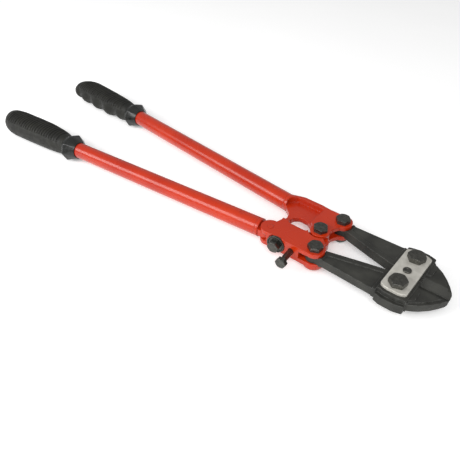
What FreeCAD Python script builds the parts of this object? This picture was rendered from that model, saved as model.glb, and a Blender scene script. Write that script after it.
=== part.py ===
"""Bolt cutters of the 750 mm class, closed and lying flat.

The tool is drawn about the middle of its link plates: +X runs to the jaws, +Y to the upper handle and +Z
up. At the end everything is moved so that the origin is the bottom centre of the whole tool.
"""
import FreeCAD, Part
import Sketcher
import math
import os

from FreeCAD import Placement, Rotation, Vector

UP = Vector(0, 0, 1)
DIMS = {
    # link between the blades
    "pivot_y": 25.2,
    "link_bolt_hole": 6.05,
    "link_bolt_shank": 6.0,
    "link_bolt_flats": 19.0,
    "link_bolt_head": 6.9,
    "plate_inside": 9.0,
    "plate_thick": 4.2,
    "plate_front": 15.5,
    "plate_side": 38.6,
    "rest_level": 20.1,
    "spacer_outside": 4.2,
    "screw_hole": 3.05,
    "screw_shank": 3.0,
    # blades
    "jaw_tip": 52.6,
    "blade_half": 6.5,
    "boss_half": 8.85,
    "ledge_level": 2.8,
    "ridge_half": 7.8,
    "tail_half": 4.8,
    "tail_round": 10.5,
    "tail_step": 13.8,
    "jaw_gap": 0.15,
    "edge_half": 0.8,
    # joints between blades and handles
    "tail_x": 102.0,
    "tail_y": 33.4,
    "center_x": 115.4,
    "pin_hole": 5.05,
    "pin_shank": 5.0,
    "pin_flats": 17.0,
    "pin_head": 6.2,
    "pin_nut": 6.8,
    "center_slack_hole": 8.0,
    # handle heads
    "upper_half": 11.0,
    "lower_half": 11.0,
    "tail_boss": 14.0,
    "web_half": 3.5,
    "fork_half": 5.0,
    "center_fork_half": 5.2,
    "center_fork_round": 16.0,
    "tongue_half": 4.9,
    "ear_round": 12.8,
    "center_sweep": 15.8,
    "hollow_half": 5.2,
    # adjuster in the lower head
    "hinge_x": 168.0,
    "hinge_y": 34.5,
    "hinge_pin": 4.0,
    "adjuster_half": 4.9,
    "lock_x": 150.0,
    "push_x": 127.8,
    "push_depth": 8.1,
    "side_face_y": 46.5,
    "side_screw": 4.0,
    "wall_hole": 4.1,
    "tongue_hole": 4.35,
    "spot_round": 12.7,
    "side_screw_flats": 13.0,
    "side_screw_head": 5.8,
    "lock_screw_flats": 14.5,
    "lock_screw_head": 8.8,
    "spot_depth": 1.5,
    "washer_round": 12.2,
    # handles
    "handle_angle": 5.89,
    "tube_x": 188.0,
    "tube_y": 34.2,
    "tube_round": 12.5,
    "tube_inside": 10.5,
    "shank_round": 10.4,
    "shank_long": 46.0,
    "tube_long": 503.0,
    "rivet_at": 25.0,
    "rivet_round": 3.0,
    # grips
    "grip_upper_at": 348.5,
    "grip_lower_at": 339.5,
    "finger_round": 28.0,
    "finger_cut": 60.0,
    "grip_bore": 12.6,
}

doc = FreeCAD.newDocument("BoltCutters")
sheet = doc.addObject("Spreadsheet::Sheet", "Dims")
for row, (alias, value) in enumerate(DIMS.items(), 1):
    sheet.set(f"A{row}", alias)
    sheet.set(f"B{row}", str(value))
    sheet.setAlias(f"B{row}", alias)
doc.recompute()

pieces = []


def dim(alias):
    """Value of one cell of the sheet."""
    return float(sheet.get(alias))


# ---------------------------------------------------------------- sketches and features

def new_body(label):
    """Empty body of one piece."""
    body = doc.addObject("PartDesign::Body", label)
    body.Label = label
    pieces.append(body)
    return body


def new_sketch(body, role="XY_Plane", base=Vector(), turn=Rotation()):
    """Sketch on an origin plane of the body, moved by base and turned in that plane's own axes."""
    sketch = body.newObject("Sketcher::SketchObject", f"{body.Label}_sketch")
    plane = next(part for part in body.Origin.OriginFeatures if part.Role == role)
    sketch.AttachmentSupport = (plane, [""])
    sketch.MapMode = "FlatFace"
    sketch.AttachmentOffset = Placement(base, turn)
    return sketch


def circle(sketch, x, y, radius):
    """Circle at (x, y) whose radius is held by a cell."""
    number = sketch.addGeometry(Part.Circle(Vector(x, y, 0), UP, dim(radius)))
    sketch.addConstraint(Sketcher.Constraint("Radius", number, dim(radius)))
    sketch.setExpression(f"Constraints[{sketch.ConstraintCount - 1}]", f"Dims.{radius}")


def rounded_corner(before, here, after, radius):
    """Start, end and arc of the round that replaces a corner."""
    back = (before - here).normalize()
    ahead = (after - here).normalize()
    half = back.getAngle(ahead) / 2
    reach = radius / math.tan(half)
    first = here + back * reach
    last = here + ahead * reach
    middle = here + (back + ahead).normalize() * (radius / math.sin(half))
    start = math.atan2(first.y - middle.y, first.x - middle.x)
    sweep = (math.atan2(last.y - middle.y, last.x - middle.x) - start) % (2 * math.pi)
    if sweep > math.pi:
        start, sweep = start + sweep, 2 * math.pi - sweep
    arc = Part.ArcOfCircle(Part.Circle(middle, UP, radius), start, start + sweep)
    return first, last, arc


def outline(sketch, corners, side=1):
    """Closed outline through (x, y) or (x, y, rounding) corners; side -1 mirrors it across X."""
    points = [Vector(corner[0], corner[1] * side, 0) for corner in corners]
    runs = []
    for index, corner in enumerate(corners):
        here = points[index]
        if len(corner) < 3:
            runs.append((here, here))
            continue
        after = points[(index + 1) % len(points)]
        first, last, arc = rounded_corner(points[index - 1], here, after, corner[2])
        sketch.addGeometry(arc)
        runs.append((first, last))
    for index, (first, _) in enumerate(runs):
        sketch.addGeometry(Part.LineSegment(runs[index - 1][1], first))


def pad(body, profile, length, symmetric=False, backwards=False):
    """Pad of a sketch; length is an expression of cells."""
    feature = body.newObject("PartDesign::Pad", f"{body.Label}_pad")
    feature.Profile = profile
    feature.SideType = "Symmetric" if symmetric else "One side"
    feature.Reversed = backwards
    feature.setExpression("Length", length)
    doc.recompute()
    return feature


def pocket(body, profile, length, symmetric=False, backwards=False):
    """Pocket of a sketch, which has to take material away."""
    before = body.Shape.Volume
    feature = body.newObject("PartDesign::Pocket", f"{body.Label}_pocket")
    feature.Profile = profile
    feature.SideType = "Symmetric" if symmetric else "One side"
    feature.Reversed = backwards
    feature.setExpression("Length", length)
    doc.recompute()
    if body.Shape.Volume > before - 0.01:
        raise RuntimeError(f"{feature.Name} cuts nothing")
    return feature


def revolve(body, profile, kind="PartDesign::Revolution", axis="V_Axis"):
    """Full turn of a sketch about one of its own axes."""
    feature = body.newObject(kind, f"{body.Label}_turn")
    feature.Profile = profile
    feature.ReferenceAxis = (profile, [axis])
    feature.Angle = 360
    doc.recompute()
    return feature


def flat(body, corners, side, length):
    """Symmetric pad of an outline drawn in the tool's middle plane."""
    sketch = new_sketch(body)
    outline(sketch, corners, side)
    pad(body, sketch, length, symmetric=True)


def disc(body, x, y, radius, length):
    """Symmetric round pad in the tool's middle plane."""
    sketch = new_sketch(body)
    circle(sketch, x, y, radius)
    pad(body, sketch, length, symmetric=True)


def hole(body, x, y, radius, length="100"):
    """Symmetric round pocket along Z."""
    sketch = new_sketch(body)
    circle(sketch, x, y, radius)
    pocket(body, sketch, length, symmetric=True)


def slot(body, corners, side, length):
    """Symmetric pocket of an outline, open through the middle plane."""
    sketch = new_sketch(body)
    outline(sketch, corners, side)
    pocket(body, sketch, length, symmetric=True)


def both_faces(body, draw, level):
    """Pocket from a level outwards on the top and on the bottom; draw fills each sketch."""
    for side in (1, -1):
        sketch = new_sketch(body, base=Vector(0, 0, side * dim(level)))
        draw(sketch)
        pocket(body, sketch, "20", backwards=side > 0)


def place(body, base, axis=UP, spin=0.0):
    """Put a piece so that its own Z axis points along axis, after a spin about its own Z axis."""
    body.Placement = Placement(base, Rotation(UP, axis) * Rotation(UP, spin))


# ---------------------------------------------------------------- fasteners

def hexagon(sketch, flats):
    """Hexagon about the sketch's origin from its width across flats."""
    reach = dim(flats) / math.sqrt(3)
    outline(sketch, [(reach * math.cos(math.radians(60 * i)), reach * math.sin(math.radians(60 * i)))
                     for i in range(6)])


def crown(body, flats, height):
    """Turned chamfer that takes the six corners off the top of a hexagon."""
    wide = dim(flats) / math.sqrt(3)
    inner = dim(flats) / 2 * 0.97
    sketch = new_sketch(body, "XZ_Plane")
    outline(sketch, [(inner, dim(height) + 0.01), (wide + 1, dim(height) + 0.01),
                     (wide + 1, dim(height) - (wide + 1 - inner) * 0.55)])
    revolve(body, sketch, "PartDesign::Groove")


def hex_bolt(label, flats, head, shank, length):
    """Hex bolt whose head stands on its own XY plane."""
    body = new_body(label)
    top = new_sketch(body)
    hexagon(top, flats)
    pad(body, top, f"Dims.{head}")
    stem = new_sketch(body)
    circle(stem, 0, 0, shank)
    pad(body, stem, length, backwards=True)
    crown(body, flats, head)
    return body


def hex_nut(label, flats, height, bore):
    """Hex nut that stands on its own XY plane."""
    body = new_body(label)
    outside = new_sketch(body)
    hexagon(outside, flats)
    circle(outside, 0, 0, bore)
    pad(body, outside, f"Dims.{height}")
    crown(body, flats, height)
    return body


# ---------------------------------------------------------------- link plates and their bolts

def make_link_plate(label, level):
    """Plate over or under the blades; level is the height of its lower face."""
    body = new_body(label)
    front = dim("plate_front")
    side = dim("plate_side")
    sketch = new_sketch(body)
    outline(sketch, [(front, -side + 3.4, 3), (9, -side, 14), (-9, -side, 14), (-front, -side + 3.4, 3),
                     (-front, side - 3.4, 3), (-9, side, 14), (9, side, 14), (front, side - 3.4, 3)])
    for y in (-dim("pivot_y"), dim("pivot_y")):
        circle(sketch, 0, y, "link_bolt_hole")
    circle(sketch, 0, 0, "screw_hole")
    pad(body, sketch, "Dims.plate_thick")
    place(body, Vector(0, 0, level))


def make_link_bolts():
    """Two M12 bolts from above, with nuts whose lower faces carry the tool."""
    plate_top = dim("plate_inside") + dim("plate_thick")
    for name, side, spin in (("upper", 1, 8), ("lower", -1, 20)):
        bolt = hex_bolt(f"link_bolt_{name}", "link_bolt_flats", "link_bolt_head", "link_bolt_shank",
                        "Dims.plate_inside + Dims.plate_thick + Dims.rest_level - 0.1")
        place(bolt, Vector(0, side * dim("pivot_y"), plate_top), spin=spin)
        nut = hex_nut(f"link_nut_{name}", "link_bolt_flats", "link_bolt_head", "link_bolt_hole")
        nut.Placement = Placement(Vector(0, side * dim("pivot_y"), -plate_top),
                                  Rotation(Vector(1, 0, 0), 180))


def make_center_screw():
    """Round-headed screw between the blades and the tube that keeps the two plates apart."""
    screw = new_body("center_screw")
    profile = new_sketch(screw, "XZ_Plane")
    shank = dim("screw_shank")
    outline(profile, [(0, -26.3), (shank, -26.3), (shank, 0), (5, 0), (5, 1.6, 1.2), (2.4, 2.8), (2.0, 1.9),
                      (0, 1.9)])
    revolve(screw, profile)
    place(screw, Vector(0, 0, dim("plate_inside") + dim("plate_thick")))
    spacer = new_body("center_spacer")
    ring = new_sketch(spacer)
    circle(ring, 0, 0, "spacer_outside")
    circle(ring, 0, 0, "screw_hole")
    pad(spacer, ring, "Dims.plate_inside * 2", symmetric=True)


# ---------------------------------------------------------------- blades

def make_blade(label, side):
    """Forged blade: jaw with a bevelled edge, boss under the plates and a thin round tail."""
    body = new_body(label)
    gap = dim("jaw_gap")
    tip = dim("jaw_tip")
    flat(body, [(14, gap), (tip, gap, 0.8), (tip, 5, 4), (47, 14.5, 24), (40, 24, 24), (31, 33, 24),
                (20, 40.5, 12), (-18, 43.2, 20), (-86, 41, 8), (-97, 42.3), (-105, 23.5), (-93, 24.6, 5),
                (-50, 13.2, 60), (-19, 5.6, 4), (9.5, 5, 2)], side, "Dims.blade_half * 2")
    flat(body, [(-15.5, 5.3), (18.5, 5.3, 1), (18.2, 44.2, 2), (8, 47.2, 12), (-8, 47.2, 12),
                (-16.5, 44.5, 2)], side, "Dims.boss_half * 2")
    flat(body, [(16, 14), (24, 16, 2), (24, 32, 4), (16, 38)], side, "Dims.ridge_half * 2")
    # the same forging turned over makes the other blade, so the ledge is on top of the lower one only
    ledge = new_sketch(body, base=Vector(0, 0, -side * dim("ledge_level")))
    outline(ledge, [(-16.4, 60), (-16.4, 39.5, 3), (-8, 42.4, 14), (8, 42.4, 14), (18.6, 40, 3), (18.6, 60)],
            side)
    pocket(body, ledge, "20", backwards=side < 0)
    disc(body, -dim("tail_x"), side * dim("tail_y"), "tail_round", "Dims.tail_half * 2")

    both_faces(body, lambda sketch: circle(sketch, -dim("tail_x"), side * dim("tail_y"), "tail_step"),
               "tail_half")
    shank_face = [(-86, 30, 3), (-20.5, 12.6, 2), (-20.5, 50), (-88, 50)]
    for face in (1, -1):
        sketch = new_sketch(body, base=Vector(0, 0, face * (dim("blade_half") - 1.1)))
        outline(sketch, shank_face, side)
        pocket(body, sketch, "1.2", backwards=face > 0)
        band = new_sketch(body, base=Vector(0, 0, face * (dim("blade_half") - 1.6)))
        outline(band, [(20, 50), (20.0, 37.2), (30, 29.5, 20), (38.5, 20, 20), (46, 8.5, 8), (49, 4, 3),
                       (60, 4), (60, 50)], side)
        pocket(body, band, "2", backwards=face > 0)

    bevel = new_sketch(body, "YZ_Plane", base=Vector(0, 0, 19.2))
    edge = dim("edge_half")
    for face in (1, -1):
        wedge = [(-1 * side, edge * face), (1.0 * side, edge * face), (15 * side, 9.5 * face),
                 (-1 * side, 9.5 * face)]
        outline(bevel, wedge)
    pocket(body, bevel, "50", backwards=True)

    hole(body, 0, side * dim("pivot_y"), "link_bolt_hole")
    hole(body, -dim("tail_x"), side * dim("tail_y"), "pin_hole")


# ---------------------------------------------------------------- handle heads

def handle_sketch(body, side):
    """Sketch square to a handle's axis at the front end of its tube."""
    tilt = Rotation(Vector(0, 1, 0), -side * dim("handle_angle"))
    return new_sketch(body, "YZ_Plane", Vector(side * dim("tube_y"), 0, -dim("tube_x")), tilt)


def handle_shank(body, side, neck):
    """Round shank inside the tube and the round neck in front of it."""
    inside = handle_sketch(body, side)
    circle(inside, 0, 0, "shank_round")
    pad(body, inside, "Dims.shank_long", backwards=True)
    outside = handle_sketch(body, side)
    circle(outside, 0, 0, "tube_round")
    pad(body, outside, neck)


def rivet_spot(side):
    """Point of a handle's axis where the rivet crosses it."""
    turn = math.radians(dim("handle_angle"))
    x = -dim("tube_x") - dim("rivet_at") * math.cos(turn)
    y = side * (dim("tube_y") + dim("rivet_at") * math.sin(turn))
    return Vector(x, y, 0)


def make_head_upper():
    """Upper head: a thin web with an outer flange, and two forks in one thick front block."""
    body = new_body("head_upper")
    flat(body, [(-186.5, 29.5), (-179.5, 18.5, 10), (-169, 9.5, 8), (-166.5, 0.15, 2), (-160.5, 0.15, 2),
                (-159.5, 7, 6), (-153, 12.6, 7), (-141, 12.4, 10), (-124, 0), (-106, 0), (-103.3, 13.5, 5),
                (-96.5, 25), (-98, 45), (-128, 44.8, 30), (-140, 46.3, 20), (-168, 46.3, 12), (-186.4, 40)],
         1, "Dims.upper_half * 2")
    disc(body, -dim("tail_x"), dim("tail_y"), "ear_round", "Dims.upper_half * 2")
    disc(body, -dim("center_x"), 0, "ear_round", "Dims.upper_half * 2")
    handle_shank(body, 1, "16")
    both_faces(body, lambda sketch: outline(sketch, [
        (-133.5, -5), (-133.5, 40, 3), (-174, 40, 8), (-183, 33, 8), (-183, 20, 8), (-179, 12, 8),
        (-175, -5)]), "web_half")
    slot(body, [(-131.4, 0), (-131.4, -20), (-85, -20), (-85, 14), (-97, 20), (-105, 22.2),
                (-109, 14)], 1, "Dims.center_fork_half * 2")
    hole(body, -dim("center_x"), 0, "center_fork_round", "Dims.center_fork_half * 2")
    slot(body, [(-113.3, 22, 8), (-106, 22, 3), (-92, 18), (-80, 18), (-80, 60), (-113.3, 60)], 1,
         "Dims.fork_half * 2")
    hole(body, -dim("tail_x"), dim("tail_y"), "pin_hole")
    hole(body, -dim("center_x"), 0, "pin_hole")
    spot = rivet_spot(1)
    hole(body, spot.x, spot.y, "rivet_round")


def side_axis():
    """Outward direction of the two side screws, square to the lower handle."""
    turn = math.radians(dim("handle_angle"))
    return Vector(math.sin(turn), -math.cos(turn), 0)


def side_sketch(body, x, depth):
    """Sketch square to a side screw that leaves the outer side face at x, at a depth along the screw."""
    tilt = Rotation(Vector(0, 1, 0), dim("handle_angle"))
    base = Vector(-x, 0, dim("side_face_y")) - tilt.multVec(Vector(0, 0, depth))
    return new_sketch(body, "XZ_Plane", base, tilt)


def make_head_lower():
    """Lower head: two plates joined by side walls, open at the rear for the adjuster."""
    body = new_body("head_lower")
    flat(body, [(-168, 23), (-165.5, 14, 5), (-166.5, 0.15, 2), (-160.5, 0.15, 2), (-158.5, 10, 4),
                (-152, 13.3, 6), (-128, 13.3, 4), (-127, 2), (-104, 0), (-96.5, 8.5, 5), (-97, 21, 8),
                (-94, 30), (-98, 45), (-109, 46.5, 6), (-168, 46.8)], -1, "Dims.lower_half * 2")
    disc(body, -dim("tail_x"), -dim("tail_y"), "ear_round", "Dims.lower_half * 2")
    boss = new_sketch(body)
    circle(boss, -dim("tail_x"), -dim("tail_y"), "ear_round")
    pad(body, boss, "Dims.tail_boss", backwards=True)
    disc(body, -dim("center_x"), 0, "ear_round", "Dims.tongue_half * 2")
    disc(body, -dim("hinge_x"), -dim("hinge_y"), "ear_round", "Dims.lower_half * 2")
    both_faces(body, lambda sketch: circle(sketch, -dim("center_x"), 0, "center_sweep"), "tongue_half")
    both_faces(body, lambda sketch: outline(sketch, [(-115.4, 0), (-97, -18.6), (-85, -18.6), (-85, 20),
                                                     (-115.4, 20)]), "tongue_half")
    both_faces(body, lambda sketch: outline(sketch, [(-172, 5), (-172, -9.5, 2), (-156, -9.5, 2),
                                                     (-156, 5)]), "fork_half")
    slot(body, [(-195, 10), (-168, 19, 3), (-122, 18, 3), (-122, 40.5, 3), (-165.5, 40.5, 2),
                (-166.5, 60), (-195, 60)], -1, "Dims.hollow_half * 2")
    slot(body, [(-117, 60), (-117, 34, 3), (-113.3, 22, 8), (-106, 22, 3), (-92, 18), (-80, 18),
                (-80, 60)], -1, "Dims.fork_half * 2")
    hole(body, -dim("tail_x"), -dim("tail_y"), "pin_hole")
    hole(body, -dim("center_x"), 0, "center_slack_hole")
    hole(body, -dim("hinge_x"), -dim("hinge_y"), "hinge_pin")
    for x in ("lock_x", "push_x"):
        bore = side_sketch(body, dim(x), -2)
        circle(bore, 0, 0, "wall_hole")
        pocket(body, bore, "10")
    spot = side_sketch(body, dim("lock_x"), dim("spot_depth"))
    circle(spot, 0, 0, "spot_round")
    pocket(body, spot, "6", backwards=True)


def make_adjuster():
    """Flat tongue in the lower head, with the round shoulder and shank that carry the tube."""
    body = new_body("adjuster_tongue")
    flat(body, [(-188, 25.5), (-176, 23.5, 6), (-123.8, 21, 3), (-123.8, 37.7, 2), (-136, 38.95, 8),
                (-163, 38.6, 3), (-169, 44.5, 5), (-186.5, 44.5)], -1, "Dims.adjuster_half * 2")
    handle_shank(body, -1, "5")
    hole(body, -dim("hinge_x"), -dim("hinge_y"), "hinge_pin")
    spot = rivet_spot(-1)
    hole(body, spot.x, spot.y, "rivet_round")
    bore = side_sketch(body, dim("lock_x"), 5)
    circle(bore, 0, 0, "tongue_hole")
    pocket(body, bore, "30")


def make_adjuster_pin_and_screws():
    """Flush hinge pin of the tongue, lock screw with its cup washer, and push screw."""
    pin = new_body("hinge_pin")
    stem = new_sketch(pin)
    circle(stem, 0, 0, "hinge_pin")
    pad(pin, stem, "Dims.lower_half * 2 + 0.6", symmetric=True)
    place(pin, Vector(-dim("hinge_x"), -dim("hinge_y"), 0))

    outward = side_axis()
    lock_face = Vector(-dim("lock_x"), -dim("side_face_y"), 0) - outward * dim("spot_depth")
    washer = new_body("lock_washer")
    profile = new_sketch(washer, "XZ_Plane")
    rim = dim("washer_round")
    bore = dim("wall_hole")
    outline(profile, [(bore, 0), (rim - 1.2, 0), (rim, 1.2), (rim, 4.2), (rim - 1.4, 4.2), (rim - 2.2, 2.6, 1),
                      (bore, 2.6)])
    revolve(washer, profile)
    place(washer, lock_face, outward)
    lock = hex_bolt("lock_screw", "lock_screw_flats", "lock_screw_head", "side_screw", "24")
    place(lock, lock_face + outward * 2.6, outward, 14)

    push = hex_bolt("push_screw", "side_screw_flats", "side_screw_head", "side_screw", "29.4")
    push_face = Vector(-dim("push_x"), -dim("side_face_y"), 0)
    place(push, push_face + outward * (29.4 - dim("push_depth")), outward, 5)


# ---------------------------------------------------------------- pivots between heads and blades

def make_pivots():
    """M10 pivot bolts: nuts under the upper head, threads in the boss of the lower head."""
    for name, x, y, spin in (("tail_bolt_upper", -dim("tail_x"), dim("tail_y"), 12),
                             ("center_bolt", -dim("center_x"), 0, 3)):
        bolt = hex_bolt(name, "pin_flats", "pin_head", "pin_shank", "Dims.upper_half * 2 + Dims.pin_nut")
        place(bolt, Vector(x, y, dim("upper_half")), spin=spin)
        nut = hex_nut(name.replace("bolt", "nut"), "pin_flats", "pin_nut", "pin_hole")
        nut.Placement = Placement(Vector(x, y, -dim("upper_half")), Rotation(Vector(1, 0, 0), 180))
    bolt = hex_bolt("tail_bolt_lower", "pin_flats", "pin_head", "pin_shank",
                    "Dims.lower_half + Dims.tail_boss - 0.3")
    place(bolt, Vector(-dim("tail_x"), -dim("tail_y"), dim("lower_half")), spin=25)


# ---------------------------------------------------------------- handles

def handle_place(body, side, along=0.0):
    """Put a piece with its X axis running rearwards along a handle, from the front end of the tube."""
    turn = Rotation(UP, 180 - side * dim("handle_angle"))
    front = Vector(-dim("tube_x"), side * dim("tube_y"), 0)
    body.Placement = Placement(front + turn.multVec(Vector(along, 0, 0)), turn)


def make_tube(name, side):
    """Steel tube and the flush rivet that pins it to the shank inside."""
    tube = new_body(f"tube_{name}")
    ring = new_sketch(tube, "YZ_Plane")
    circle(ring, 0, 0, "tube_round")
    circle(ring, 0, 0, "tube_inside")
    pad(tube, ring, "Dims.tube_long")
    hole(tube, dim("rivet_at"), 0, "rivet_round")
    handle_place(tube, side)
    rivet = new_body(f"tube_rivet_{name}")
    stem = new_sketch(rivet)
    circle(stem, 0, 0, "rivet_round")
    pad(rivet, stem, "Dims.tube_round * 2 - 0.3", symmetric=True)
    handle_place(rivet, side, dim("rivet_at"))


def ellipse(body, along, half_wide, half_high, inward):
    """Section of a grip, square to the tube."""
    sketch = new_sketch(body, "YZ_Plane", Vector(0, 0, along))
    sketch.addGeometry(Part.Ellipse(Vector(inward, 0, 0), half_wide, half_high))
    return sketch


def make_grip(name, side):
    """Rubber grip: flared collar, finger grooves on the inner side and a slanted closed end."""
    # each station: distance from the open end, half width, half height, shift inward
    collar = ((0, 13.9, 13.8, 0), (16, 23.2, 20.1, 0), (18, 23.2, 20.1, 0), (28, 15.9, 15.7, 0.4))
    hold = ((50, 19.6, 17.4, 2.3), (90, 22.4, 18.8, 4.0), (152, 23.0, 19.0, 4.4))
    slanted_end = ((172, 21.2, 17.8, 6.2), (184, 17.2, 14.6, 9.4), (190, 11.0, 8.6, 12.6))
    # each finger groove: distance from the open end, centre of its round cut
    grooves = ((62, 47.6), (100, 50.6), (138, 51.2))
    grip = new_body(f"grip_{name}")
    sections = [ellipse(grip, along, wide, high, side * inward)
                for along, wide, high, inward in collar + hold + slanted_end]
    loft = grip.newObject("PartDesign::AdditiveLoft", f"{grip.Label}_loft")
    loft.Profile = sections[0]
    loft.Sections = sections[1:]
    loft.Ruled = True
    doc.recompute()
    for along, centre in grooves:
        groove = new_sketch(grip, base=Vector(along, side * centre, 0))
        circle(groove, 0, 0, "finger_round")
        pocket(grip, groove, "Dims.finger_cut", symmetric=True)
    bore = new_sketch(grip, "YZ_Plane")
    circle(bore, 0, 0, "grip_bore")
    pocket(grip, bore, f"Dims.tube_long - Dims.grip_{name}_at + 0.2", backwards=True)
    handle_place(grip, side, dim(f"grip_{name}_at"))


# ---------------------------------------------------------------- build

make_link_plate("link_plate_top", dim("plate_inside"))
make_link_plate("link_plate_bottom", -dim("plate_inside") - dim("plate_thick"))
make_link_bolts()
make_center_screw()
make_blade("blade_upper", 1)
make_blade("blade_lower", -1)
make_head_upper()
make_head_lower()
make_adjuster()
make_adjuster_pin_and_screws()
make_pivots()
for handle, across in (("upper", 1), ("lower", -1)):
    make_tube(handle, across)
    make_grip(handle, across)


def set_down():
    """Move every piece so that the origin is the bottom centre of the whole tool."""
    whole = FreeCAD.BoundBox()
    for piece in pieces:
        whole.add(piece.Shape.optimalBoundingBox(False))
    shift = Vector(-whole.Center.x, -whole.Center.y, -whole.ZMin)
    for piece in pieces:
        piece.Placement.Base = piece.Placement.Base + shift
    print("moved by", [round(value, 4) for value in shift], "mm")


def check():
    """Stop unless every object of the document was built and every piece is one valid solid."""
    for thing in doc.Objects:
        if "Invalid" in thing.State or "Error" in thing.State:
            raise RuntimeError(f"{thing.Name} is {thing.State}")
    for piece in pieces:
        if piece.Shape.isNull() or not piece.Shape.isValid() or len(piece.Shape.Solids) != 1:
            raise RuntimeError(f"{piece.Label} is not one valid solid")


doc.recompute()
set_down()
doc.recompute()
check()
os.makedirs("parts", exist_ok=True)
for piece in pieces:
    piece.Shape.exportStep(f"parts/{piece.Label}.step")
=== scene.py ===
"""Bolt cutters lying flat: finishes, moulded grips, floor, light and camera."""
import math

import bmesh
import bpy
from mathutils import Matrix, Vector


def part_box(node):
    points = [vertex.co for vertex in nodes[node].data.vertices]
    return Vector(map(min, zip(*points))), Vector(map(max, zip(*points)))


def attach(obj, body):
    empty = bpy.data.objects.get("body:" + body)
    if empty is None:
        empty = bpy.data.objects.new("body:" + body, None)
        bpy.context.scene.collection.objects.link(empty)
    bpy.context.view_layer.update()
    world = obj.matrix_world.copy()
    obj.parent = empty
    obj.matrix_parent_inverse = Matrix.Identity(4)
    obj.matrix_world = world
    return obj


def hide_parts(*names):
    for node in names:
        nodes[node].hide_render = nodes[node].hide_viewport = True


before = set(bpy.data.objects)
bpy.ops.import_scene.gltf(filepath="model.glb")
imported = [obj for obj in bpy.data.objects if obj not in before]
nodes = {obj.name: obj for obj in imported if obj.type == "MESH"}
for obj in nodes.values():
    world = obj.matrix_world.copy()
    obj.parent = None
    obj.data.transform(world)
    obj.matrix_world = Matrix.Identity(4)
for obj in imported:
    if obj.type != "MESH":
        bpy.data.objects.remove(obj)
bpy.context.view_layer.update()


# ------------------------------------------------ handle tubes, heads and adjuster tongue
# The handles are drawn steel tubes pushed over the shanks of forged heads and pinned. Tubes,
# heads, rivets, hinge pin and tongue are dipped together in a glossy orange-red enamel, which is
# thin along the edges.

def new_finish(name, colour, metallic, roughness):
    """A finish with a flat start; the nodes added after it carry its detail."""
    finish = bpy.data.materials.new(name)
    finish.use_nodes = True
    shader = finish.node_tree.nodes["Principled BSDF"]
    shader.inputs["Base Color"].default_value = (*colour, 1)
    shader.inputs["Metallic"].default_value = metallic
    shader.inputs["Roughness"].default_value = roughness
    return finish, shader


def add(finish, kind, inputs=(), **settings):
    """One more node of a finish; each input is a number, a colour or the output that feeds it."""
    node = finish.node_tree.nodes.new("ShaderNode" + kind)
    for name, value in settings.items():
        setattr(node, name, value)
    for name, value in dict(inputs).items():
        join(finish, value, node.inputs[name])
    return node


def join(finish, value, socket):
    """Feed a socket from another node, or set its value."""
    if isinstance(value, bpy.types.NodeSocket):
        finish.node_tree.links.new(value, socket)
    else:
        socket.default_value = value


def cloud(finish, scale, detail=4.0, stretch=(1, 1, 1)):
    """Noise fixed to the piece; scale is cells per metre."""
    place = add(finish, "TexCoord")
    turned = add(finish, "Mapping", {"Vector": place.outputs["Object"], "Scale": stretch})
    noise = add(finish, "TexNoise",
                {"Vector": turned.outputs[0], "Scale": scale, "Detail": detail})
    return noise.outputs[0]


def spread(finish, value, low, high, start=0.3, end=0.7):
    """Turn a noise between start and end into a number from low to high."""
    ranged = add(finish, "MapRange", {"Value": value, "From Min": start, "From Max": end,
                                      "To Min": low, "To Max": high})
    return ranged.outputs[0]


MIX_SHARE, MIX_FIRST, MIX_SECOND, MIX_RESULT = 0, 6, 7, 2    # a Mix node's colour sockets


def blend_colours(finish, share, first, second):
    """Mix of two colours by a share from 0 to 1."""
    mix = add(finish, "Mix", data_type="RGBA")
    join(finish, share, mix.inputs[MIX_SHARE])
    for number, colour in ((MIX_FIRST, first), (MIX_SECOND, second)):
        if not isinstance(colour, bpy.types.NodeSocket):
            colour = (*colour, 1)
        join(finish, colour, mix.inputs[number])
    return mix.outputs[MIX_RESULT]


ON_EDGE, ON_FACE = 0.80, 0.985         # cosine between the true and the rounded surface


def edge_share(finish, radius, patchy):
    """How far a point lies on a sharp edge, broken up by a noise."""
    rounded = add(finish, "Bevel", {"Radius": radius}, samples=6)
    level = add(finish, "NewGeometry")
    along = add(finish, "VectorMath", operation="DOT_PRODUCT")
    join(finish, rounded.outputs[0], along.inputs[0])
    join(finish, level.outputs["Normal"], along.inputs[1])
    edge = spread(finish, along.outputs["Value"], 1.0, 0.0, ON_EDGE, ON_FACE)
    share = add(finish, "Math", operation="MULTIPLY", use_clamp=True)
    join(finish, edge, share.inputs[0])
    join(finish, patchy, share.inputs[1])
    return share.outputs[0]


def weathered(finish, shader, mottle, dark, light, edge, rub, least, between, rubbed):
    """Two shades in a soft mottle, with patches of the sharp edges rubbed to a third colour.

    mottle and rub are cells per metre and detail; edge is in metres.
    """
    shade = blend_colours(finish, spread(finish, cloud(finish, *mottle), 0, 1), dark, light)
    patches = spread(finish, cloud(finish, *rub), least, 1.0, *between)
    worn = edge_share(finish, edge, patches)
    join(finish, blend_colours(finish, worn, shade, rubbed), shader.inputs["Base Color"])


def sheen(finish, shader, speckle, glossy, dull):
    """Roughness that wanders between two values; speckle is cells per metre and detail."""
    rough = spread(finish, cloud(finish, *speckle), glossy, dull)
    join(finish, rough, shader.inputs["Roughness"])


def bump(finish, shader, height, strength, distance, under=None):
    """Fine relief of a finish; distance is in metres."""
    inputs = {"Height": height, "Strength": strength, "Distance": distance}
    if under:
        inputs["Normal"] = under
    relief = add(finish, "Bump", inputs).outputs[0]
    join(finish, relief, shader.inputs["Normal"])
    return relief


WELD_WITHIN = 0.00001                  # metres


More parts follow.
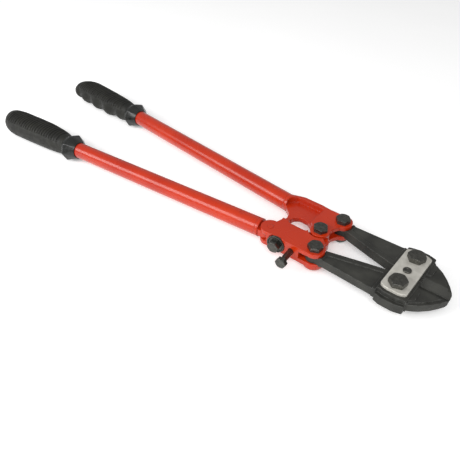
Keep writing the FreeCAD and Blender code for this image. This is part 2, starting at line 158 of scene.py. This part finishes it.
def round_edges(node, width):
    """Break the sharp edges of a machined or forged piece with a small round."""
    piece = nodes[node]
    weld = piece.modifiers.new("weld", "WELD")
    weld.merge_threshold = WELD_WITHIN
    flats = piece.modifiers.new("flats", "DECIMATE")
    flats.decimate_type = "DISSOLVE"
    flats.angle_limit = math.radians(0.5)
    rounding = piece.modifiers.new("rounding", "BEVEL")
    rounding.width = width
    rounding.segments = 2
    rounding.limit_method = "ANGLE"
    rounding.angle_limit = math.radians(35)
    rounding.harden_normals = True


def dress(names, finish, rounding=0.0):
    """Give CAD nodes a finish and, where it isn't 0, rounded edges."""
    for name in names:
        materials = nodes[name].data.materials
        materials.clear()
        materials.append(finish)
        if rounding:
            round_edges(name, rounding)


enamel, enamel_shader = new_finish("orange_red_enamel", (0.62, 0.03, 0.012), 0.0, 0.25)
enamel_shader.inputs["Specular IOR Level"].default_value = 0.35
enamel_shader.inputs["Coat Weight"].default_value = 0.25
enamel_shader.inputs["Coat Roughness"].default_value = 0.22
weathered(enamel, enamel_shader, mottle=(14, 3), dark=(0.385, 0.014, 0.001),
          light=(0.50, 0.028, 0.002), edge=0.0007, rub=(260, 6), least=0.0,
          between=(0.52, 0.66), rubbed=(0.28, 0.04, 0.024))
sheen(enamel, enamel_shader, speckle=(60, 5), glossy=0.22, dull=0.32)
soft_edge = add(enamel, "Bevel", {"Radius": 0.0016}, samples=8).outputs[0]
bump(enamel, enamel_shader, cloud(enamel, 240, 2), 0.05, 0.0004, soft_edge)
dress(["head_upper", "head_lower", "adjuster_tongue"], enamel, 0.0012)
dress(["tube_upper", "tube_lower", "hinge_pin", "tube_rivet_upper", "tube_rivet_lower"], enamel)


# ------------------------------------------------ blades
# Two drop-forged alloy steel blades with ground cutting bevels, hardened at the jaws and
# blackened in oil. The forged skin keeps a fine scale, and the edges shine a little where they
# rub.

forged, forged_shader = new_finish("blackened_forged_steel", (0.035, 0.035, 0.032), 0.15, 0.6)
weathered(forged, forged_shader, mottle=(45, 6), dark=(0.013, 0.013, 0.011),
          light=(0.044, 0.044, 0.037), edge=0.0008, rub=(180, 6), least=0.1,
          between=(0.40, 0.62), rubbed=(0.15, 0.15, 0.145))
sheen(forged, forged_shader, speckle=(90, 5), glossy=0.52, dull=0.72)
soft_edge = add(forged, "Bevel", {"Radius": 0.0010}, samples=8).outputs[0]
scale_skin = bump(forged, forged_shader, cloud(forged, 160, 6), 0.55, 0.0008, soft_edge)
bump(forged, forged_shader, cloud(forged, 900, 4), 0.40, 0.0003, scale_skin)
dress(["blade_upper", "blade_lower"], forged, 0.0009)


# ------------------------------------------------ link plates
# Two stamped steel plates hold the blade bosses. They are left bright: rolled, zinc-flashed and
# dull from handling, with faint scratches along their length.

bright, bright_shader = new_finish("satin_zinc_plate", (0.55, 0.55, 0.51), 0.35, 0.42)
weathered(bright, bright_shader, mottle=(120, 6), dark=(0.47, 0.455, 0.41),
          light=(0.62, 0.60, 0.545), edge=0.0008, rub=(300, 4), least=0.2,
          between=(0.40, 0.62), rubbed=(0.80, 0.80, 0.78))
sheen(bright, bright_shader, speckle=(220, 5), glossy=0.30, dull=0.50)
scratches = bump(bright, bright_shader, cloud(bright, 900, 3, (1.0, 0.06, 1.0)), 0.15, 0.0002)
bump(bright, bright_shader, cloud(bright, 350, 5), 0.12, 0.0003, scratches)
dress(["link_plate_top", "link_plate_bottom"], bright, 0.0006)


# ------------------------------------------------ bolts, nuts and screws
# Hex bolts and nuts of high-tensile steel with a black oxide skin: two through the link plates,
# two at the blade tails, one at the centre, and the push and lock screws of the adjuster.

black, black_shader = new_finish("black_oxide", (0.08, 0.08, 0.072), 0.8, 0.28)
weathered(black, black_shader, mottle=(300, 5), dark=(0.055, 0.055, 0.049),
          light=(0.105, 0.103, 0.092), edge=0.0005, rub=(400, 4), least=0.1,
          between=(0.40, 0.60), rubbed=(0.28, 0.28, 0.29))
sheen(black, black_shader, speckle=(260, 4), glossy=0.20, dull=0.36)
bump(black, black_shader, cloud(black, 1300, 3), 0.18, 0.0002)
dress(["link_bolt_upper", "link_bolt_lower", "link_nut_upper", "link_nut_lower",
       "center_screw", "tail_bolt_upper", "tail_nut_upper", "center_bolt", "center_nut",
       "tail_bolt_lower", "push_screw", "lock_screw", "lock_washer"], black, 0.0004)
dress(["center_spacer"], black)


# ------------------------------------------------ grips
# Each grip is moulded in black rubber and pushed over the tube: an eight-sided flared collar at
# the front, cross ribs on top and underneath, finger hollows on the inner side and a slanted
# closed end.

HANDLE_ANGLE = math.radians(5.89)      # between a handle and the tool's middle line
# in metres, the first three counted from the tube's front end
RIVET_AT = 0.025
TUBE_LONG = 0.503
OPEN_END = {"upper": 0.3485, "lower": 0.3395}
BORE = 0.0126                          # radius
GRIP_LONG = 0.190

# distance from the open end, half width, half height, shift inward: in millimetres
STATIONS = ((0, 13.9, 13.8, 0), (14.5, 21.4, 19.5, 0), (16, 22.8, 20.0, 0),
            (18.5, 22.6, 20.0, 0), (22, 19.2, 18.2, 0), (28, 16.4, 16.0, 0.4),
            (36, 17.4, 16.6, 1.0), (50, 20.0, 17.8, 2.3), (70, 21.6, 18.7, 3.2),
            (90, 22.8, 19.2, 4.0), (120, 23.4, 19.4, 4.3), (152, 23.6, 19.4, 4.6),
            (164, 23.0, 19.0, 5.2), (172, 21.8, 18.3, 6.2), (179, 19.8, 16.9, 7.8),
            (184, 17.4, 15.0, 9.4), (188, 13.6, 11.8, 11.2), (190, 9.5, 8.0, 12.4))


def station(along):
    """Half width, half height and shift inward at a distance from the open end."""
    last = len(STATIONS) - 1
    step = next((i for i in range(last) if along <= STATIONS[i + 1][0]), last - 1)
    low, high = STATIONS[step], STATIONS[step + 1]
    share = min(max((along - low[0]) / (high[0] - low[0]), 0), 1)
    return [a + (b - a) * share for a, b in zip(low[1:], high[1:])]


def ease(value, start, end):
    """0 before start, 1 after end, smooth between."""
    share = min(max((value - start) / (end - start), 0), 1)
    return share * share * (3 - 2 * share)


# all in millimetres; a pair is where a feature starts to change and where it has changed
COLLAR_FLARES, COLLAR_ENDS = (1, 14), (18.5, 26)
SQUARED, ROUNDED = (28, 60), (150, 184)
RIB_PITCH = 5.8
RIB_HIGH = 1.3
RIBS_START, RIBS_END = (36, 40), (168, 172)
RIB_SIDES = (0.56, 0.62)               # share of the way up at which the ribs fade in
RIB_FRONT, RIB_BACK = (0.0, 0.16), (0.54, 0.70)      # of one pitch
HOLLOW_PITCH = 38.0
HOLLOW_FIRST = 62.0
HOLLOW_DEEP = 4.8
HOLLOWS_START, HOLLOWS_END = (40, 50), (172, 182)
HOLLOW_SIDES = (0.3, 0.8)              # share of the way inward at which they fade in
HOLLOW_TURN = math.radians(25)         # the hollows face a little downwards
HOLD_HALF_HIGH, HOLD_HALF_WIDE = 19, 23
REST_DEPTH = 20.1                      # from the handle's axis to the floor
CROWN_PAST, CROWN_INWARD = 1.0, 12.8   # middle of the closed end


def grip_skin(along, angle):
    """Point of the rubber in the grip's own axes (rearward, inward, up), in millimetres."""
    wide, high, shift = station(along)
    inward, up = math.cos(angle), math.sin(angle)
    collar = 1 - ease(along, *COLLAR_ENDS)
    facet = math.pi / 4
    corner = abs((angle + facet / 2) % facet - facet / 2)
    flat_sided = math.cos(facet / 2) / math.cos(facet / 2 - corner) if collar else 1
    reach = 1 + collar * ease(along, *COLLAR_FLARES) * 0.9 * (flat_sided - 0.96)
    squareness = 1 - 0.12 * ease(along, *SQUARED) * (1 - ease(along, *ROUNDED))
    y = wide * reach * math.copysign(abs(inward) ** squareness, inward)
    z = high * reach * math.copysign(abs(up) ** squareness, up)
    z = max(-REST_DEPTH, min(REST_DEPTH, z))
    ribbed = ease(along, *RIBS_START) * (1 - ease(along, *RIBS_END)) * ease(abs(up), *RIB_SIDES)
    phase = (along / RIB_PITCH) % 1
    rib = ease(phase, *RIB_FRONT) * (1 - ease(phase, *RIB_BACK))
    swell = 1 + ribbed * (rib * RIB_HIGH - RIB_HIGH) / HOLD_HALF_HIGH
    towards = inward * math.cos(HOLLOW_TURN) - up * math.sin(HOLLOW_TURN)
    fingers = (ease(along, *HOLLOWS_START) * (1 - ease(along, *HOLLOWS_END))
               * ease(towards, *HOLLOW_SIDES))
    hollow = 0.5 + 0.5 * math.cos(2 * math.pi * (along - HOLLOW_FIRST) / HOLLOW_PITCH)
    swell -= fingers * hollow * HOLLOW_DEEP / HOLD_HALF_WIDE
    return along, y * swell + shift, z * swell


AROUND = 96
RING_STEP = 0.6                        # millimetres
COLLAR_RINGS = 42                      # rings of faces in the mouth and the flared collar
for name, side in (("upper", 1), ("lower", -1)):
    open_end = OPEN_END[name]
    low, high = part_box(f"tube_rivet_{name}")
    axis_point = (low + high) / 2
    rearward = Vector((-math.cos(HANDLE_ANGLE), side * math.sin(HANDLE_ANGLE), 0))
    inner = Vector((-math.sin(HANDLE_ANGLE), -side * math.cos(HANDLE_ANGLE), 0))
    start = axis_point + rearward * (open_end - RIVET_AT)

    def put(along, inward, up):
        """Point of the grip in the frame, from millimetres in its own axes."""
        return start + (rearward * along + inner * inward + Vector((0, 0, up))) / 1000

    shape = bmesh.new()
    levels = [i * RING_STEP for i in range(int(GRIP_LONG * 1000 / RING_STEP))]
    levels.append(GRIP_LONG * 1000)
    rings = []
    for along in [None, 0.0] + levels:
        ring = []
        for i in range(AROUND):
            angle = 2 * math.pi * i / AROUND
            bore = (BORE * 1000 * math.cos(angle), BORE * 1000 * math.sin(angle))
            if along is None:          # end of the bore, at the tube's rear end
                point = ((TUBE_LONG - open_end) * 1000, *bore)
            elif len(rings) == 1:      # mouth of the bore
                point = (0, *bore)
            else:
                point = grip_skin(along, angle)
            ring.append(shape.verts.new(put(*point)))
        rings.append(ring)
    for near, far in zip(rings, rings[1:]):
        for i in range(AROUND):
            shape.faces.new((near[i - 1], near[i], far[i], far[i - 1]))
    shape.faces.new(rings[0])
    end = shape.verts.new(put(GRIP_LONG * 1000 + CROWN_PAST, CROWN_INWARD, 0))
    for i in range(AROUND):
        shape.faces.new((rings[-1][i - 1], rings[-1][i], end))
    bmesh.ops.recalc_face_normals(shape, faces=shape.faces)
    mesh = bpy.data.meshes.new(f"moulded_grip_{name}")
    shape.to_mesh(mesh)
    shape.free()
    mesh.shade_smooth()
    mesh.set_sharp_from_angle(angle=math.radians(40))
    grip = bpy.data.objects.new(f"moulded_grip_{name}", mesh)
    bpy.context.scene.collection.objects.link(grip)
    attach(grip, "handle_" + name)
    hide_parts("grip_" + name)

rubber, rubber_shader = new_finish("moulded_black_rubber", (0.02, 0.02, 0.018), 0.0, 0.6)
rubber_shader.inputs["Specular IOR Level"].default_value = 0.35
weathered(rubber, rubber_shader, mottle=(70, 5), dark=(0.005, 0.005, 0.004),
          light=(0.014, 0.014, 0.010), edge=0.0008, rub=(240, 5), least=0.0,
          between=(0.42, 0.62), rubbed=(0.035, 0.035, 0.029))
sheen(rubber, rubber_shader, speckle=(180, 4), glossy=0.50, dull=0.72)
bump(rubber, rubber_shader, cloud(rubber, 1500, 2), 0.35, 0.0003)

# the flared collar came out of a polished part of the mould and is glossier than the hold
gloss, gloss_shader = new_finish("polished_black_rubber", (0.014, 0.015, 0.014), 0.0, 0.25)
weathered(gloss, gloss_shader, mottle=(90, 5), dark=(0.006, 0.007, 0.006),
          light=(0.014, 0.015, 0.014), edge=0.0008, rub=(240, 5), least=0.0,
          between=(0.42, 0.62), rubbed=(0.05, 0.05, 0.045))
sheen(gloss, gloss_shader, speckle=(160, 4), glossy=0.20, dull=0.36)
bump(gloss, gloss_shader, cloud(gloss, 300, 3), 0.12, 0.0003)
for name in ("upper", "lower"):
    mesh = bpy.data.objects[f"moulded_grip_{name}"].data
    mesh.materials.append(rubber)
    mesh.materials.append(gloss)
    for face in mesh.polygons:
        face.material_index = int(face.index // AROUND < COLLAR_RINGS)


# ------------------------------------------------ floor, light and camera
# The tool lies on a pale sheet that glows faintly. A long low lamp stands past the grips on the
# adjuster's side, and a higher one fills in from the jaws. The camera stands off the jaws on the
# same side and looks back and down along the handles.

low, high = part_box("center_screw")
blade_low, blade_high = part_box("blade_upper")
tool_middle = Vector(((low.x + high.x) / 2, (low.y + high.y) / 2, (blade_low.z + blade_high.z) / 2))

FLOOR_HALF = 6.0
SHEET_GLOW = 0.25
ROOM_LIGHT = 0.46
corners = [(x * FLOOR_HALF, y * FLOOR_HALF, 0) for x, y in ((-1, -1), (1, -1), (1, 1), (-1, 1))]
sheet = bpy.data.meshes.new("pale_sheet")
sheet.from_pydata(corners, [], [(0, 1, 2, 3)])
floor = bpy.data.objects.new("pale_sheet", sheet)
bpy.context.scene.collection.objects.link(floor)
paper, paper_shader = new_finish("pale_paper", (0.92, 0.92, 0.92), 0.0, 0.9)
paper_shader.inputs["Emission Color"].default_value = (1, 1, 1, 1)
paper_shader.inputs["Emission Strength"].default_value = SHEET_GLOW
join(paper, blend_colours(paper, cloud(paper, 4, 2), (0.90, 0.90, 0.90), (0.94, 0.94, 0.94)),
     paper_shader.inputs["Base Color"])
sheet.materials.append(paper)


def soft_lamp(name, place, aim, wide, long, power):
    """Rectangular lamp at a place, facing another."""
    lamp = bpy.data.lights.new(name, "AREA")
    lamp.shape = "RECTANGLE"
    lamp.size, lamp.size_y, lamp.energy = wide, long, power
    holder = bpy.data.objects.new(name, lamp)
    holder.location = place
    holder.rotation_euler = (Vector(aim) - Vector(place)).to_track_quat("-Z", "Y").to_euler()
    bpy.context.scene.collection.objects.link(holder)


soft_lamp("long_lamp", (-1.0, -1.37, 0.95), (-1.0, -0.05, 0.0), wide=1.7, long=0.8, power=25)
soft_lamp("front_fill", (0.9, -1.3, 1.7), (0.1, 0.0, 0.0), wide=1.6, long=1.0, power=27)
world = bpy.data.worlds.new("studio")
world.use_nodes = True
backdrop = world.node_tree.nodes["Background"]
backdrop.inputs["Color"].default_value = (1, 1, 1, 1)
backdrop.inputs["Strength"].default_value = ROOM_LIGHT
bpy.context.scene.world = world
bpy.context.scene.view_settings.view_transform = "Standard"

SENSOR = 36.0                          # millimetres wide
LENS_TO_SENSOR = 466.6 / 460           # focal length over the sensor's width
STANDS_OFF = Vector((0.0867, -0.4177, 0.3960))       # metres from the middle of the blades
LOOKS_ALONG = Vector((-0.4894, 0.5809, -0.6504))
camera = bpy.data.cameras.new("camera")
camera.sensor_width = SENSOR
camera.lens = SENSOR * LENS_TO_SENSOR
viewer = bpy.data.objects.new("camera", camera)
viewer.location = tool_middle + STANDS_OFF
viewer.rotation_euler = LOOKS_ALONG.to_track_quat("-Z", "Y").to_euler()
bpy.context.scene.collection.objects.link(viewer)
bpy.context.scene.camera = viewer
